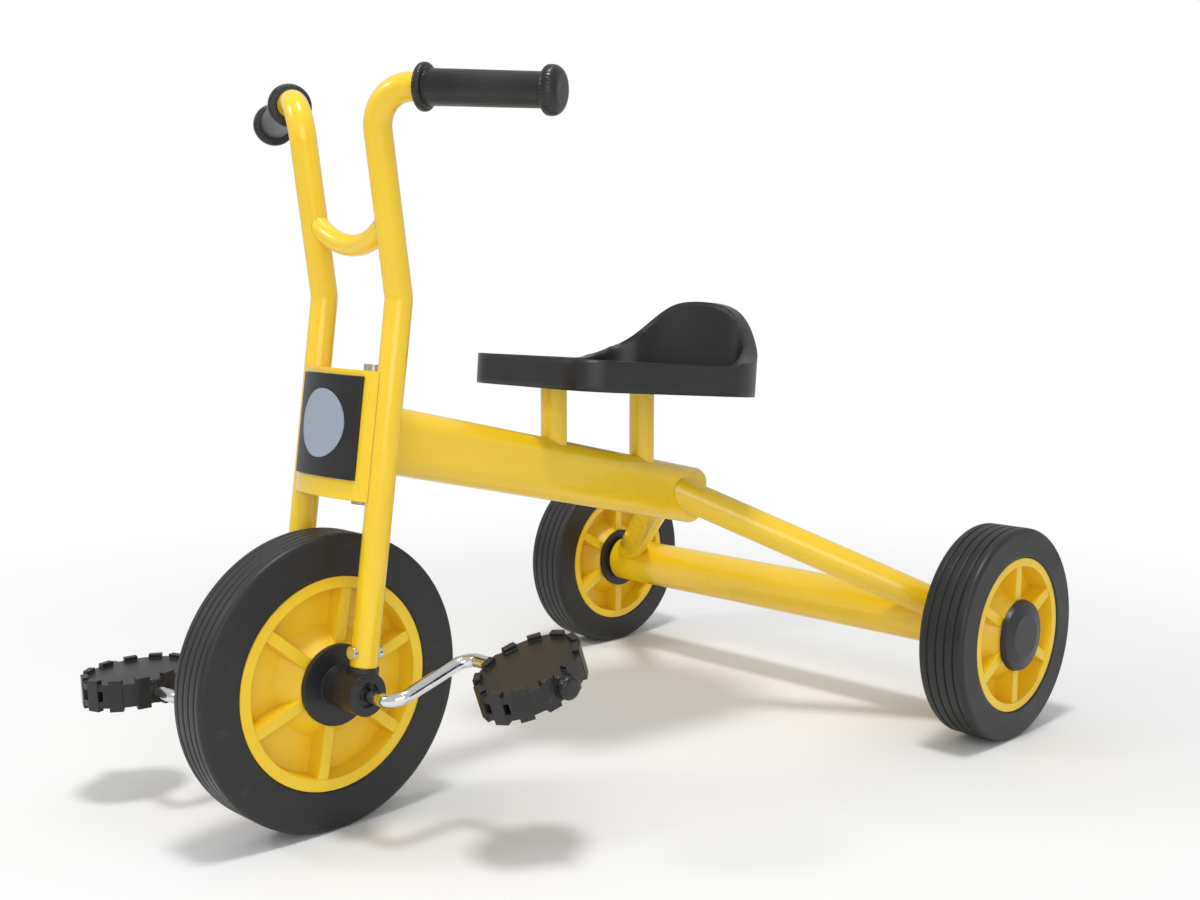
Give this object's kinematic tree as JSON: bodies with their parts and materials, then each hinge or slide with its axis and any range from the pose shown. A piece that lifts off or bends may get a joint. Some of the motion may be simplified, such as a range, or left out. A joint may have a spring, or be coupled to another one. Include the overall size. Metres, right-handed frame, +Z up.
{
  "type": "toddler tricycle",
  "caption": "Pedal tricycle for a toddler: tubular yellow frame, raked steering fork with swept grips, cranked front axle with pedals, moulded seat and spoked rims.",
  "frame": {"origin": "on the ground, midway along the tricycle and on its middle plane", "axes": "+X forward, +Y to the rider's left, +Z up"},
  "size_m": [0.7412, 0.5398, 0.5469],
  "materials": {
    "frame_paint": "smooth powder coat with a soft gloss",
    "rim_plastic": "moulded plastic with a satin gloss",
    "tyre": "solid rubber with circumferential grooves",
    "seat_plastic": "moulded plastic with a fine satin grain",
    "grip_rubber": "soft rubber with shallow lengthwise flutes",
    "hub_plastic": "moulded plastic, satin",
    "pedal_plastic": "moulded plastic, slightly rough",
    "chrome": "bright plated steel",
    "zinc": "zinc-plated steel, dull",
    "panel_black": "printed plastic panel",
    "lamp_grey": "flat grey-blue disc"
  },
  "bodies": {
    "frame": {"main_beam": "frame_paint", "head_tube": "frame_paint", "seat_post_front": "frame_paint", "seat_post_rear": "frame_paint", "seat_plate": "zinc", "seat": "seat_plastic", "axle_beam": "frame_paint", "rear_axle": "zinc", "rear_stay_left": "frame_paint", "rear_stay_right": "frame_paint"},
    "fork": {"fork_tube_left": "frame_paint", "fork_tube_right": "frame_paint", "handlebar_brace": "frame_paint", "head_box": "frame_paint", "lamp_panel": "panel_black", "lamp_disc": "lamp_grey", "steering_pin": "zinc", "bearing_housing_left": "hub_plastic", "bearing_housing_right": "hub_plastic", "fork_screw_left": "chrome", "fork_screw_right": "chrome", "grip_left": "grip_rubber", "grip_right": "grip_rubber"},
    "front_wheel": {"front_tyre": "tyre", "front_rim": "rim_plastic", "hub_flange_left": "hub_plastic", "hub_flange_right": "hub_plastic", "crank": "chrome"},
    "pedal_left": {"pedal_left": "pedal_plastic", "pedal_cap_left": "pedal_plastic"},
    "pedal_right": {"pedal_right": "pedal_plastic", "pedal_cap_right": "pedal_plastic"},
    "rear_wheel_left": {"rear_tyre_left": "tyre", "rear_rim_left": "rim_plastic", "rear_hub_cap_left": "hub_plastic", "rear_hub_disc_left": "hub_plastic"},
    "rear_wheel_right": {"rear_tyre_right": "tyre", "rear_rim_right": "rim_plastic", "rear_hub_cap_right": "hub_plastic", "rear_hub_disc_right": "hub_plastic"}
  },
  "joints": [
    {"name": "steering", "type": "hinge", "parent": "frame", "child": "fork", "pos_m": [0.21552, 0, 0.28571], "axis": [-0.14, 0, 0.9901], "range_deg": [-45, 45]},
    {"name": "front_wheel_spin", "type": "hinge", "parent": "fork", "child": "front_wheel", "pos_m": [0.26055, 0, 0.11], "axis": [0, 1, 0], "continuous": true},
    {"name": "pedal_left_spin", "type": "hinge", "parent": "front_wheel", "child": "pedal_left", "pos_m": [0.19428, 0.155, 0.13026], "axis": [0, 1, 0], "continuous": true},
    {"name": "pedal_right_spin", "type": "hinge", "parent": "front_wheel", "child": "pedal_right", "pos_m": [0.32682, -0.155, 0.08974], "axis": [0, 1, 0], "continuous": true},
    {"name": "rear_wheel_left_spin", "type": "hinge", "parent": "frame", "child": "rear_wheel_left", "pos_m": [-0.27745, 0.2419, 0.0931], "axis": [0, 1, 0], "continuous": true},
    {"name": "rear_wheel_right_spin", "type": "hinge", "parent": "frame", "child": "rear_wheel_right", "pos_m": [-0.27745, -0.2419, 0.0931], "axis": [0, 1, 0], "continuous": true}
  ]
}
